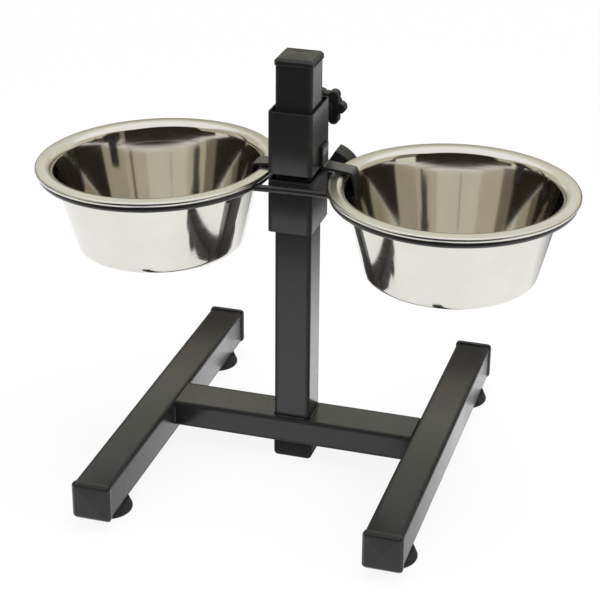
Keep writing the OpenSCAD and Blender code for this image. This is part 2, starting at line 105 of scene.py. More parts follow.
# %% [markdown]
# The black coat on the tubes is a baked powder. It is not smooth: it melts to a fine pebbled skin, so its
# gloss is broken, and it draws back from sharp edges, which look duller and show as thin dark lines. A flat
# black would look like plastic, so the colour, the gloss and the skin each follow their own noise, and an
# edge mark that the surfaces carry takes the gloss from the corners and lets a little wear show there.

# %% shader helpers
def new_finish(name, **constants):
    """A material with one Principled shader whose plain sockets take the given constants."""
    made = bpy.data.materials.new(name)
    made.use_nodes = True
    shader = made.node_tree.nodes["Principled BSDF"]
    for socket, value in constants.items():
        shader.inputs[socket.replace("_", " ")].default_value = value
    return made


def feed(finish, socket, value):
    """Links an output to an input socket, or sets the socket to a plain value."""
    if isinstance(value, bpy.types.NodeSocket):
        finish.node_tree.links.new(value, socket)
    else:
        socket.default_value = value


def node(finish, kind, inputs=(), **settings):
    """Adds one node with its settings, and feeds its inputs, which go by name or number."""
    made = finish.node_tree.nodes.new("ShaderNode" + kind)
    for key, value in settings.items():
        setattr(made, key, value)
    for key, value in dict(inputs).items():
        feed(finish, made.inputs[key], value)
    return made


def link(finish, **sockets):
    """Links outputs to the Principled shader's sockets."""
    shader = finish.node_tree.nodes["Principled BSDF"]
    for key, value in sockets.items():
        finish.node_tree.links.new(value, shader.inputs[key.replace("_", " ")])


def noise(finish, scale, detail=2.0, roughness=0.5):
    """A noise over the piece's own place, with scale in waves a metre."""
    place = node(finish, "TexCoord").outputs["Object"]
    return node(finish, "TexNoise", inputs={"Vector": place, "Scale": scale, "Detail": detail,
                                            "Roughness": roughness}).outputs["Fac"]


def spread(finish, value, low, high, start=0.3, end=0.7):
    """Turns a value between start and end into one between low and high."""
    return node(finish, "MapRange", inputs={"Value": value, "From Min": start, "From Max": end,
                                            "To Min": low, "To Max": high}).outputs["Result"]


def mixed(finish, factor, first, second):
    """A colour between two, by a factor."""
    made = node(finish, "Mix", data_type="RGBA")
    sockets = {s.identifier: s for s in made.inputs}
    feed(finish, sockets["Factor_Float"], factor)
    for key, value in (("A_Color", first), ("B_Color", second)):
        feed(finish, sockets[key], (*value, 1) if isinstance(value, tuple) else value)
    return next(s for s in made.outputs if s.identifier == "Result_Color")


def reckoned(finish, first, second, operation="MULTIPLY"):
    """Two values joined by one operation."""
    return node(finish, "Math", operation=operation, inputs={0: first, 1: second}).outputs[0]


def relief(finish, height, depth, strength):
    """A bump of the given depth in millimetres."""
    return node(finish, "Bump", inputs={"Height": height, "Distance": depth * MM,
                                        "Strength": strength}).outputs["Normal"]


def mark(finish, name):
    """The number that the surface carries under a name."""
    return node(finish, "Attribute", attribute_name=name).outputs["Fac"]


# %% powder coat
def make_powder_coat():
    """Black baked powder: colour by broad noise, gloss and pebbled skin by finer noise, dull worn edges."""
    made = new_finish("powder_coat", Specular_IOR_Level=0.28, Coat_IOR=1.36, Coat_Roughness=0.20)
    tone = mixed(made, spread(made, noise(made, 30, 4), 0, 1),
                 (0.0105, 0.0105, 0.0108), (0.0140, 0.0140, 0.0142))
    edge = mark(made, "edge")
    worn = reckoned(made, edge, spread(made, noise(made, 260, 5, 0.65), 0.0, 0.25, 0.40, 0.70))
    gloss = reckoned(made, spread(made, noise(made, 140, 3), 0.30, 0.38), reckoned(made, edge, 0.25), "ADD")
    link(made, Base_Color=mixed(made, worn, tone, (0.060, 0.060, 0.061)), Roughness=gloss,
         Coat_Weight=spread(made, edge, 1.0, 0.0, 0.1, 0.7),
         Normal=relief(made, noise(made, 1100, 2, 0.5), 0.035, 0.5))
    return made


powder_coat = make_powder_coat()
print("finish", powder_coat.name)

# %% [markdown]
# The tubes are square with rounded corners. A cube with a bevel would do, but a tube is hollow, and its
# ends show where the sleeves slide. So a tube here is a loop of rings: up the outside, over the end, down
# the inside and back. Each ring is a rounded rectangle, moved in by the wall where it lies inside.

# %% rings of rounded rectangles
def rounded_rings(w, d, r, arc=7, side=3.0):
    """Rounded rectangles, one for each entry of w, d and r. A corner is a quarter circle of radius r about
    the point (w/2 - r, d/2 - r), with one point more on each side, at most `side` along the straight."""
    w, d, r = (np.asarray(v, float)[:, None, None] for v in np.broadcast_arrays(w, d, r))
    turn = np.arange(4)[:, None] * np.pi / 2
    angle = turn + np.linspace(0, np.pi / 2, arc)
    sx, sy = np.sign(np.cos(turn + np.pi / 4)), np.sign(np.sin(turn + np.pi / 4))
    x, y = sx * (w / 2 - r) + r * np.cos(angle), sy * (d / 2 - r) + r * np.sin(angle)
    step = np.minimum(side, 0.45 * (np.minimum(w, d) - 2 * r)).clip(0)
    before = np.stack([x[..., :1] + step * np.sin(turn), y[..., :1] - step * np.cos(turn)], -1)
    after = np.stack([x[..., -1:] - step * np.cos(turn), y[..., -1:] - step * np.sin(turn)], -1)
    corner = np.concatenate([before, np.stack([x, y], -1), after], 2)
    edge = np.concatenate([[0.0], np.sin(np.linspace(0.5, np.pi - 0.5, arc)), [0.0]])
    return corner.reshape(len(corner), -1, 2), np.tile(edge, 4)


def placed(rings, along, origin, across, up, axis):
    """Rings of two coordinates set on an axis: point = origin + across*x + up*y + axis*along."""
    across, up, axis = (np.asarray(v, float) for v in (across, up, axis))
    return (np.asarray(origin, float) + rings[..., :1] * across + rings[..., 1:2] * up
            + np.asarray(along, float)[:, None, None] * axis)


def hollow_tube(w, d, r, wall, length, origin, across, up, axis, lip=0.35):
    """A straight tube: the rings go along the outside, round the far end, back along the inside."""
    inset = np.array([lip, 0.3 * lip, 0, 0, 0.3 * lip, lip, wall - lip, wall, wall, wall - lip])
    along = np.array([0, 0.3 * lip, lip, length - lip, length - 0.3 * lip, length, length,
                      length - lip, lip, 0])
    rings, edge = rounded_rings(w - 2 * inset, d - 2 * inset, np.maximum(r - inset, 0.4))
    rim = np.array([1, 1, 0, 0, 1, 1, 1, 0, 0, 1.0])
    return surface(placed(rings, along, origin, across, up, axis), wrap_rows=True,
                   edge=np.maximum(edge[None] * (inset < wall / 2)[:, None], rim[:, None]))


# %% base and post
X, Y, Z = np.eye(3)
TUBE, TUBE_R, TUBE_WALL = 40.0, 3, 1.5
RUNNER_X, RUNNER_Z, RUNNER_L, BASE_TOP, POST_TOP = 157.5, 33, 434, 53.0, 462
BAR_W, BAR_H = 50, 30
BAR_END = RUNNER_X - TUBE / 2
for name, x in (("left_runner", -RUNNER_X), ("right_runner", RUNNER_X)):
    piece(name, powder_coat, [hollow_tube(TUBE, TUBE, TUBE_R, TUBE_WALL, RUNNER_L,
                                          (x, -RUNNER_L / 2, RUNNER_Z), X, -Z, Y)])
piece("crossbar", powder_coat, [hollow_tube(BAR_W, BAR_H, TUBE_R, TUBE_WALL, 2 * BAR_END,
                                            (-BAR_END, 0, BASE_TOP - BAR_H / 2), Y, Z, X)])
piece("post", powder_coat, [hollow_tube(TUBE, TUBE, TUBE_R, TUBE_WALL, POST_TOP - BASE_TOP,
                                        (0, 0, BASE_TOP), X, Y, Z)])

# %% [markdown]
# A weld bead is a row of small frozen pools, each lying over the one before. A smooth fillet would look
# machined. Here a bead is a rod whose radius swells and narrows with the pools and wanders a little, and it
# lies half in the corner that it fills. Slow waves of different lengths keep the pools from being all alike.

# %% weld beads
def weld_bead(start, end, radius, pool=3.2, cols=20):
    """A rod from start to end: radius times (1 + ripple of the pools + slow waves), closed at both ends."""
    start, end = np.asarray(start, float), np.asarray(end, float)
    length = np.linalg.norm(end - start)
    axis = (end - start) / length
    side = np.cross(axis, Z if abs(axis[2]) < 0.9 else X)
    side /= np.linalg.norm(side)
    rise = np.cross(side, axis)
    s = np.linspace(0, length, max(24, int(length / pool * 9)))[:, None]
    a = np.linspace(0, 2 * np.pi, cols, endpoint=False)[None]
    wander = 0.10 * np.sin(s * 0.61 + a) + 0.08 * np.sin(s * 0.23 + 1.7) + 0.05 * np.sin(s * 1.37 - 2 * a)
    ends = np.sqrt(np.clip(1 - (np.abs(2 * s / length - 1)) ** (length / radius), 0, 1))
    r = radius * ends * (0.86 + 0.14 * np.abs(np.sin(np.pi * (s / pool + 0.12 * np.cos(a)))) + wander * 0.6)
    round_it = np.cos(a)[..., None] * side + np.sin(a)[..., None] * rise
    points = start + s[..., None] * axis + r[..., None] * round_it
    return surface(points, edge=np.full(points.shape[:2], 0.2))


BAR_BEAD_X, BAR_BEAD_Y, BAR_BEAD_LOW, BAR_BEAD_TOP, BAR_BEAD_R = 137.0, 25.6, 27, 49, 1.3
POST_BEAD_X, POST_BEAD_Y, POST_BEAD_Z, POST_BEAD_R = 20.6, 16.8, 53.5, 1.35
beads = [weld_bead((x, y, BAR_BEAD_LOW), (x, y, BAR_BEAD_TOP), BAR_BEAD_R)
         for x in (-BAR_BEAD_X, BAR_BEAD_X) for y in (-BAR_BEAD_Y, BAR_BEAD_Y)]
for a in np.arange(4) * math.pi / 2:
    turned = np.array([[math.cos(a), -math.sin(a), 0], [math.sin(a), math.cos(a), 0], [0, 0, 1]])
    beads.append(weld_bead(turned @ (POST_BEAD_X, -POST_BEAD_Y, POST_BEAD_Z),
                           turned @ (POST_BEAD_X, POST_BEAD_Y, POST_BEAD_Z), POST_BEAD_R))
piece("base_welds", powder_coat, beads, sharp=60)

# %% [markdown]
# The end caps are moulded plastic plugs with a bevelled flange and a low pyramid on top. Moulded plastic
# has no sharp edge anywhere: the flange and its bevel are rounded and the pyramid's ridges are soft. The cap
# is one stack of rounded squares that shrink to a point at both ends. The corner radius shrinks faster than
# the square, so the four faces stay flat and only the ridges are round, as on the real caps, where each face
# has a tone of its own. The caps are nearly smooth, while the knobs and guides have a coarser mould grain.

# %% moulded plastic
def make_moulded(name, dark, light, gloss, grain):
    """Black moulded plastic: a fine grain in the relief, and colour and gloss that vary a little."""
    made = new_finish(name, Specular_IOR_Level=0.42)
    tone = mixed(made, spread(made, noise(made, 45, 4), 0, 1), dark, light)
    rubbed = reckoned(made, mark(made, "edge"), spread(made, noise(made, 420, 4, 0.6), 0, 0.6, 0.4, 0.7))
    link(made, Base_Color=mixed(made, rubbed, tone, (0.040, 0.040, 0.040)),
         Roughness=spread(made, noise(made, 160, 3), *gloss),
         Normal=relief(made, noise(made, 900, 2), grain, 0.6))
    return made


cap_plastic = make_moulded("cap_plastic", (0.009, 0.009, 0.009), (0.012, 0.012, 0.012), (0.26, 0.30), 0.002)
knob_plastic = make_moulded("knob_plastic", (0.008, 0.008, 0.008), (0.012, 0.012, 0.011), (0.36, 0.46), 0.03)
guide_plastic = make_moulded("guide_plastic", (0.008, 0.008, 0.008), (0.012, 0.012, 0.012), (0.45, 0.6), 0.03)
print("finishes", cap_plastic.name, knob_plastic.name, guide_plastic.name)

# %% end caps
def end_cap(origin, across, up, axis):
    """A stack of rounded squares: plug, flange, bevel of 45 degrees, and a pyramid whose height falls from
    its apex in proportion to the width."""
    width = np.array([0, 33, 35, 35, 35, 41.4, 42.6, 43, 43, 42.94, 42.7, 42.2, 38.7, 37.9, 37.2, 36.4,
                      26, 15, 6, 1.5, 0])
    along = np.array([-17, -17, -16, -8, 0, 0, 0.4, 1.2, 4.4, 4.75, 5.0, 5.25, 6.9, 7.28, 7.52, 7.64])
    along = np.concatenate([along, 7.25 + 2.5 * (1 - width[16:] / 43)])
    along[-2:] -= np.array([0.03, 0.09])
    corner = np.interp(width, [0, 15, 26, 36.4, 38.7, 42.7, 43], [0, 0.3, 0.5, 1.0, 2.4, 4.4, 4.5])
    rings, edge = rounded_rings(width, width, corner)
    ridge = np.interp(np.arange(len(width)), [0, 7, 8, 11, 13, 15, 20], [0, 0, 0.5, 0.6, 0.3, 0, 0])
    return surface(placed(rings, along, origin, across, up, axis), edge=edge[None] * ridge[:, None])


for name, x, y in (("left_front_cap", -1, -1), ("left_rear_cap", -1, 1), ("right_front_cap", 1, -1),
                   ("right_rear_cap", 1, 1)):
    piece(name, cap_plastic, [end_cap((x * RUNNER_X, y * RUNNER_L / 2, RUNNER_Z), X, Z, y * Y)], sharp=50)
piece("post_cap", cap_plastic, [end_cap((0, 0, POST_TOP), X, Y, Z)], sharp=50)

# %% [markdown]
# The feet under the runners are turned shapes, so a profile carried round an axis makes them, as a lathe
# would. They flare to a round lower edge, a groove runs round the sole, and a well in the middle hides the
# screw. Under the post stands a block: a stack of rounded rectangles that draws in round its lower edge and
# goes over into the circles of its own well. Rubber is the dullest finish on the stand: rough, slightly
# dusty in its lower half, with hardly any gloss.

# %% feet
def lathe(r, z, origin=(0, 0, 0), axes=(X, Y, Z), cols=72, wrap_rows=True, **marks):
    """A profile of radius r and height z carried round: point = origin + r cos(a) x + r sin(a) y + z axis."""
    r, z = (np.asarray(v, float)[:, None, None] for v in (r, z))
    a = np.linspace(0, 2 * np.pi, cols, endpoint=False)[None, :, None]
    ax, ay, az = (np.asarray(v, float) for v in axes)
    return surface(np.asarray(origin, float) + r * (np.cos(a) * ax + np.sin(a) * ay) + z * az,
                   wrap_rows=wrap_rows, **{k: np.asarray(v)[:, None] for k, v in marks.items()})


def bend(x, z, r, start, end, steps):
    """Points on an arc of radius r about (x, z), from one angle to another in degrees, as columns r and z."""
    a = np.radians(np.linspace(start, end, steps))
    return np.stack([x + r * np.cos(a), z + r * np.sin(a)], -1)


def make_rubber():
    """Matt black rubber: dull, with dust near the floor and a faint mould texture."""
    made = new_finish("foot_rubber", Specular_IOR_Level=0.3)
    height = node(made, "SeparateXYZ", inputs={0: node(made, "TexCoord").outputs["Object"]}).outputs["Z"]
    dust = reckoned(made, spread(made, height, 0.5, 0.05, 0.0, 0.012),
                    spread(made, noise(made, 220, 4), 0, 1))
    link(made, Base_Color=mixed(made, dust, (0.011, 0.011, 0.011), (0.045, 0.044, 0.042)),
         Roughness=spread(made, noise(made, 120, 3), 0.68, 0.85),
         Normal=relief(made, noise(made, 1100, 2), 0.05, 0.5))
    return made


FOOT_H, FOOT_TOP_R, FOOT_R, FOOT_EDGE, FOOT_Y, BLOCK_H = 13.0, 22.0, 26.0, 2.5, 177.0, 23.0
WELL_R, WELL_MOUTH_R, SCREW_R, SCREW_L = 5.2, 5.8, 2.3, 7


def foot(x, y):
    """The foot's profile: down the flared side, round the lower edge, over the sole's groove, up the well."""
    lean = math.degrees(math.atan2(FOOT_R - FOOT_TOP_R, FOOT_H))
    low = FOOT_R - FOOT_EDGE
    profile = np.concatenate([
        [[SCREW_R, FOOT_H], [FOOT_TOP_R - 0.7, FOOT_H], [FOOT_TOP_R - 0.1, FOOT_H - 0.2],
         [FOOT_TOP_R + 0.15, FOOT_H - 0.8]],
        bend(low, FOOT_EDGE, FOOT_EDGE, lean, -90, 9),
        [[low - 1.8, 0], [low - 2.2, 0.7], [low - 3.6, 0.7], [low - 4.0, 0], [WELL_MOUTH_R, 0],
         [WELL_R, 0.5], [WELL_R, FOOT_H - SCREW_L], [SCREW_R, FOOT_H - SCREW_L]]])
    return lathe(profile[:, 0], profile[:, 1], (x, y, 0))


def block_foot(width=44.0, depth=36.0, edge=5.0):
    """Rings from the top down: rounded rectangles, drawn in by edge (1 - cos) at height edge (1 - sin), then
    the circles of the well, which are rounded squares with a radius of half their width."""
    a = np.linspace(0, np.pi / 2, 8)
    inset = np.concatenate([[0.5, 0.12, 0.0], edge * (1 - np.cos(a))])
    z = np.concatenate([[BLOCK_H, BLOCK_H - 0.15, BLOCK_H - 0.6], edge * (1 - np.sin(a))])
    hole = 2 * np.array([WELL_MOUTH_R, WELL_R, WELL_R, SCREW_R, SCREW_R])
    w, d = (np.concatenate([v - 2 * inset, hole]) for v in (width, depth))
    r = np.concatenate([np.maximum(edge - inset, 1.2), hole / 2])
    z = np.concatenate([z, [0.0, 0.6, BLOCK_H - SCREW_L, BLOCK_H - SCREW_L, BLOCK_H]])
    rings, _ = rounded_rings(w, d, r, arc=9)
    return surface(placed(rings, z, (0, 0, 0), X, Y, Z), wrap_rows=True)


foot_rubber = make_rubber()
for name, x, y in (("left_front_foot", -1, -1), ("left_rear_foot", -1, 1), ("right_front_foot", 1, -1),
                   ("right_rear_foot", 1, 1)):
    piece(name, foot_rubber, [foot(x * RUNNER_X, y * FOOT_Y)])
piece("centre_foot", foot_rubber, [block_foot()])

# %% [markdown]
# Two sleeves slide on the post. The lower one carries the hoops and the upper one carries the clips that
# hold the bowls down. They are short lengths of wider tube, so the tube surface serves again.

# %% sleeves
CARRIER_Z, CARRIER_TOP, LOCK_Z, LOCK_TOP = 282.0, 341.0, 348.0, 416.0
SLEEVE_W, SLEEVE_D, SLEEVE_R, SLEEVE_WALL = 48.0, 66.0, 4, 2
for name, low, high in (("carrier_sleeve", CARRIER_Z, CARRIER_TOP), ("lock_sleeve", LOCK_Z, LOCK_TOP)):
    piece(name, powder_coat, [hollow_tube(SLEEVE_W, SLEEVE_D, SLEEVE_R, SLEEVE_WALL, high - low,
                                          (0, 0, low), X, Y, Z, lip=0.5)])

# %% [markdown]
# Each hoop is a rod bent to a ring, with two straight arms that run past the front and the back of the
# sleeve and are welded there, end to end. The left hoop hangs two degrees down from level. The size of a hoop
# follows from its bowl, whose rolled edge lies on it, so the bowl's main points come first. A ring is a
# circle carried round a circle, and an arm is a straight rod with one rounded end, both in the plane of the
# hoop, which is then turned about the sleeve's middle.

# %% hoops
BOWL_H, FLAT_R, CORNER_R, WALL_A, SHEET = 99, 83, 10, 76.5, 0.8
LIP_R, RIM_A, RIM_W, BEAD_R = 3, 2, 12.5, 2.8
cos_w, sin_w = math.cos(math.radians(WALL_A)), math.sin(math.radians(WALL_A))
cos_r, sin_r = math.cos(math.radians(RIM_A)), math.sin(math.radians(RIM_A))
CORNER_X, CORNER_Z = FLAT_R + CORNER_R * sin_w, CORNER_R * (1 - cos_w)
WALL_L = (BOWL_H - LIP_R - SHEET + LIP_R * cos_w - CORNER_Z) / sin_w
LIP_X, LIP_Z = CORNER_X + WALL_L * cos_w + LIP_R * sin_w, CORNER_Z + WALL_L * sin_w - LIP_R * cos_w
BEAD_X = LIP_X + RIM_W * cos_r + (LIP_R + SHEET - BEAD_R) * sin_r
BEAD_Z = LIP_Z - RIM_W * sin_r + (LIP_R + SHEET - BEAD_R) * cos_r
SEAT_IN, SEAT_GAP = 3.9, 0.3
HOOP_Z, HOOP_R, ROD_R = 334.0, BEAD_X - SEAT_IN, 4.0
BEAD_UP = math.sqrt((ROD_R + BEAD_R + SEAT_GAP) ** 2 - SEAT_IN ** 2)
SEAT_Z = BEAD_UP - BEAD_Z
ARM_Y, ARM_R = 36.75, 3.75
ARM_UP = BEAD_UP - BEAD_R - SEAT_GAP - ARM_R
LEFT_ROOM, RIGHT_ROOM, LEFT_FALL, RIGHT_FALL = 3.6, 11.6, 2.0, 0.0
SIDES = {"left": (-1, SLEEVE_W / 2 + LEFT_ROOM + BEAD_X + BEAD_R, LEFT_FALL),
         "right": (1, SLEEVE_W / 2 + RIGHT_ROOM + BEAD_X + BEAD_R, RIGHT_FALL)}
print("rim radius", round(BEAD_X + BEAD_R, 2), "hoop radius", round(HOOP_R, 2))


def in_hoop(points, side, fall):
    """Turns the hoop's plane down by its fall about Y, mirrors it for the left and lifts it to its level."""
    f = math.radians(fall)
    u, y, v = points[..., 0], points[..., 1], points[..., 2]
    return np.stack([side * (u * math.cos(f) + v * math.sin(f)), y,
                     HOOP_Z - u * math.sin(f) + v * math.cos(f)], -1)


def rod(start, end, radius, cols=28):
    """A straight rod along X, flat at its start and rounded at its end: the radius follows a circle there."""
    start, end = np.asarray(start, float), np.asarray(end, float)
    length = np.linalg.norm(end - start)
    tip = np.linspace(np.pi / 2, 0, 7)
    soft = 0.6 * radius
    along = np.concatenate([[0, 0], length - soft * (1 - np.cos(tip))])
    r = np.concatenate([[0, radius], radius - soft + soft * np.sin(tip)])
    r[-1] = 0
    a = np.linspace(0, 2 * np.pi, cols, endpoint=False)[None]
    along, r = np.broadcast_to(along[:, None], (len(r), cols)), r[:, None]
    return start + np.stack([along, r * np.cos(a), r * np.sin(a)], -1)


def hoop_ring(x, rows=256, cols=28):
    """A circle of radius ROD_R carried round one of radius HOOP_R about (x, 0, 0)."""
    a = np.linspace(0, 2 * np.pi, rows, endpoint=False)[:, None]
    b = np.linspace(0, 2 * np.pi, cols, endpoint=False)[None]
    r = HOOP_R + ROD_R * np.cos(b)
    return np.stack([x + r * np.cos(a), r * np.sin(a), ROD_R * np.sin(b) + 0 * a], -1)


for side, (sign, x, fall) in SIDES.items():
    reach = x - math.sqrt(HOOP_R ** 2 - ARM_Y ** 2)
    parts = [surface(in_hoop(hoop_ring(x), sign, fall), wrap_rows=True)]
    for y in (-ARM_Y, ARM_Y):
        start = (ARM_R - ARM_UP) * math.tan(math.radians(fall)) + 0.01
        parts.append(surface(in_hoop(rod((start, y, ARM_UP), (reach, y, ARM_UP), ARM_R), sign, fall)))
    piece(side + "_hoop", powder_coat, parts, sharp=60)

ARM_BEAD_FROM, ARM_BEAD_TO, ARM_BEAD_Y, ARM_BEAD_DOWN, ARM_BEAD_R = 0.5, 16.5, 33.9, 3.6, 2.1
beads = []
for sign, _, fall in SIDES.values():
    for y in (-ARM_BEAD_Y, ARM_BEAD_Y):
        line = np.array([[x, y, ARM_UP - ARM_BEAD_DOWN] for x in (ARM_BEAD_FROM, ARM_BEAD_TO)])
        beads.append(weld_bead(*in_hoop(line, sign, fall), ARM_BEAD_R, pool=3.6))
piece("hoop_welds", powder_coat, beads, sharp=60)

# %% [markdown]
# The bowls are pressed and polished stainless steel. A mirror shows every facet, so the profile gets many
# points in its bends and the turn has many columns. The sheet is closed: the profile runs out along the
# underside, round the rolled edge and back along the inside. Each point carries its distance along the
# profile, which the finish reads for the fine rings that polishing leaves, and a mark for the satin rim.

# %% steel
def make_bowl_steel():
    """Polished steel: rings by a noise along the profile, smears and gloss by broad noise, a satin rim."""
    made = new_finish("bowl_steel", Metallic=1.0)
    along = mark(made, "along")
    rings = node(made, "TexNoise", noise_dimensions="1D",
                 inputs={"W": along, "Scale": 0.4, "Detail": 1.5, "Roughness": 0.5}).outputs["Fac"]
    smear = noise(made, 24, 5, 0.62)
    tint = mixed(made, spread(made, smear, 0, 1), (0.735, 0.715, 0.67), (0.785, 0.765, 0.72))
    polish = spread(made, reckoned(made, smear, rings, "ADD"), 0.05, 0.11, 0.7, 1.3)
    link(made, Base_Color=tint,
         Roughness=reckoned(made, polish, reckoned(made, mark(made, "satin"), 0.16), "ADD"),
         Normal=relief(made, rings, 0.004, 0.35))
    return made


bowl_steel = make_bowl_steel()
print("finish", bowl_steel.name)

# %% bowls
def thinned(line, step):
    """Points along a polyline at about an even step."""
    reach = np.concatenate([[0], np.cumsum(np.linalg.norm(np.diff(line, axis=0), axis=1))])
    at = np.linspace(0, reach[-1], max(2, int(reach[-1] / step)))
    return np.stack([np.interp(at, reach, line[:, 0]), np.interp(at, reach, line[:, 1])], -1)


def bowed(start, start_angle, end, end_angle, steps=14):
    """A cubic curve between two points that leaves and arrives at the given angles, in degrees."""
    way = np.array([[math.cos(math.radians(a)), math.sin(math.radians(a))] for a in (start_angle, end_angle)])
    third = np.linalg.norm(np.asarray(end) - start) / 3
    t = np.linspace(0, 1, steps)[1:-1, None]
    return ((1 - t) ** 3 * start + 3 * (1 - t) ** 2 * t * (start + third * way[0])
            + 3 * (1 - t) * t ** 2 * (end - third * way[1]) + t ** 3 * end)


def bowl_profile(bow=0.6, lip_r=9.0):
    """Underside from the middle to the bead, round the bead, and back along the inside to the middle. The
    wall bows out a little: it stands by `bow` degrees less steep at its foot and steeper at its lip. The lip
    is an arc of radius lip_r, whose middle lies on the bisector of wall and rim."""
    foot, lip = WALL_A - bow, WALL_A + bow
    bisector = math.radians((WALL_A - RIM_A) / 2 - 90)
    away = (lip_r - LIP_R) / math.cos(math.radians(WALL_A + RIM_A) / 2)
    mid = LIP_X + away * math.cos(bisector), LIP_Z + away * math.sin(bisector)
    corner_out, corner_in = (bend(FLAT_R, CORNER_R, r, -90, foot - 90, 12)
                             for r in (CORNER_R, CORNER_R - SHEET))
    lip_out, lip_in = (bend(*mid, r, 90 + lip, 90 - RIM_A, 16) for r in (lip_r, lip_r + SHEET))
    outside = [corner_out, bowed(corner_out[-1], foot, lip_out[0], lip), lip_out]
    inside = [corner_in, bowed(corner_in[-1], foot, lip_in[0], lip), lip_in]
    floor = thinned(np.array([[0, 0], [FLAT_R, 0]]), 6)[:-1]
    return np.concatenate([floor, *outside, bend(BEAD_X, BEAD_Z, BEAD_R, 205, 450 - RIM_A, 22),
                           np.concatenate(inside)[::-1], floor[::-1] + (0, SHEET)])


SATIN_IN = 4
profile = bowl_profile()
walked = np.concatenate([[0], np.cumsum(np.linalg.norm(np.diff(profile, axis=0), axis=1))])
satin = np.clip((profile[:, 0] - LIP_X + SATIN_IN) / SATIN_IN, 0, 1)
for side, (sign, x, fall) in SIDES.items():
    turned = lathe(profile[:, 0], profile[:, 1] + SEAT_Z, (x, 0, 0), cols=224, wrap_rows=False,
                   along=walked, satin=satin)
    turned["points"] = in_hoop(turned["points"], sign, fall)
    piece(side + "_bowl", bowl_steel, [turned], sharp=70)

# %% [markdown]
# The clips are bent from flat strap. A strap is a flat section carried along a bent line: straight down
# the sleeve, out over the rim, and down inside the bowl. The bends are arcs whose middles follow from the
# place of the rim, so that the strap clears the rim and the wall by the spaces on the drawing.

# %% clips
CLIP_W, CLIP_T, CLIP_R, CLIP_A, CLIP_TOP, CLIP_DOWN, CLIP_Y = 22, 3, 2, 6, 371.0, 27, 10
RIM_GAP, WALL_GAP = 0.55, 3


def clip_line(x, fall):
    """The strap's middle line from the top of its leg to the end inside the bowl, with its directions."""
    f, ca, sa = math.radians(fall), math.cos(math.radians(CLIP_A)), math.sin(math.radians(CLIP_A))
    u, v = x - LIP_X, SEAT_Z + LIP_Z
    lip = np.array([u * math.cos(f) + v * math.sin(f), HOOP_Z - u * math.sin(f) + v * math.cos(f)])
    c1x = SLEEVE_W / 2 + CLIP_T + CLIP_R
    c1 = np.array([c1x, lip[1] + (LIP_R + SHEET + RIM_GAP + CLIP_T + CLIP_R - (c1x - lip[0]) * sa) / ca])
    wall = math.radians(WALL_A + fall)
    k = c1 - (2 * CLIP_R + CLIP_T) * np.array([sa, ca])
    toward = np.array([math.sin(wall), math.cos(wall)])
    leg = (LIP_R + SHEET + WALL_GAP - CLIP_R - (k - lip) @ toward) / math.sin(wall - math.radians(CLIP_A))
    c2 = k + leg * np.array([ca, -sa])
    middle = CLIP_R + CLIP_T / 2
    first = bend(*c1, middle, 180, 270 - CLIP_A, 10)
    second = bend(*c2, middle, 90 - CLIP_A, 90 - math.degrees(wall), 10)
    end = second[-1] + CLIP_DOWN * np.array([math.cos(wall), -math.sin(wall)])
    return np.concatenate([[[SLEEVE_W / 2 + CLIP_T / 2, CLIP_TOP]], first, second, [end]])


def strap(line, width, thick, y, sign, soft=0.7):
    """A rounded flat section carried along a line in the XZ plane; the end rings shrink to close it."""
    way = np.gradient(line, axis=0)
    way /= np.linalg.norm(way, axis=1, keepdims=True)
    line = np.concatenate([[line[0]], [line[0]], [line[0] + soft * way[0]], line[1:-1],
                           [line[-1] - soft * way[-1]], [line[-1]], [line[-1]]])
    way = np.concatenate([[way[0]] * 3, way[1:-1], [way[-1]] * 3])
    shrink = np.zeros(len(line))
    shrink[[1, -2]] = soft
    w, t = width - 2 * shrink, thick - 2 * shrink
    w[[0, -1]], t[[0, -1]] = 0.02, 0.02
    rings, edge = rounded_rings(w, t, np.minimum(soft, t / 2.2), arc=5, side=1.0)
    normal = np.stack([way[:, 1], -way[:, 0]], -1)[:, None]
    flat = line[:, None] + rings[..., 1:2] * normal
    points = np.stack([sign * flat[..., 0], y + rings[..., 0], flat[..., 1]], -1)
    ends = np.zeros(len(line))
    ends[[1, -2]] = 1
    return surface(points, edge=np.maximum(edge[None], ends[:, None]))


for side, (sign, x, fall) in SIDES.items():
    piece(side + "_clip", powder_coat, [strap(clip_line(x, fall), CLIP_W, CLIP_T, CLIP_Y, sign)], sharp=50)

# %% [markdown]
# A knob clamps each sleeve from behind: a winged one below and a star above, on studs that run through a
# nut welded to the sleeve. Both knobs are outlines in polar form, pulled along the screw's axis with
# rounded edges. The star is the outer envelope of a core circle and six lobes. The wings are two widening
# blades cut off by a circle. Soft minimum and maximum round the corners where those curves meet.

# %% knobs
CLAMP_X, WING_Z, STAR_Z = 11.0, 308.0, 391.0
STAR_R, CORE_R, LOBE_R, LOBE_AT = 21.0, 16.5, 6.0, 15.0
WING_R, WING_ROOT, WING_TIP, WING_TURN, HUB_R = 39.0, 17, 32, 48, 12.0


def round_screw(r, y, a, z):
    """Points about a clamp screw's axis at height z: radius r, angle a, and y along the axis for each row."""
    return np.stack([CLAMP_X + r * np.cos(a), np.broadcast_to(y[:, None], r.shape), z + r * np.sin(a)], -1)


def soft_max(a, b, k):
    """The larger of two values, with the corner between them rounded over about k."""
    return 0.5 * (a + b + np.sqrt((a - b) ** 2 + k * k)) - 0.5 * k * np.exp(-np.abs(a - b) / k)


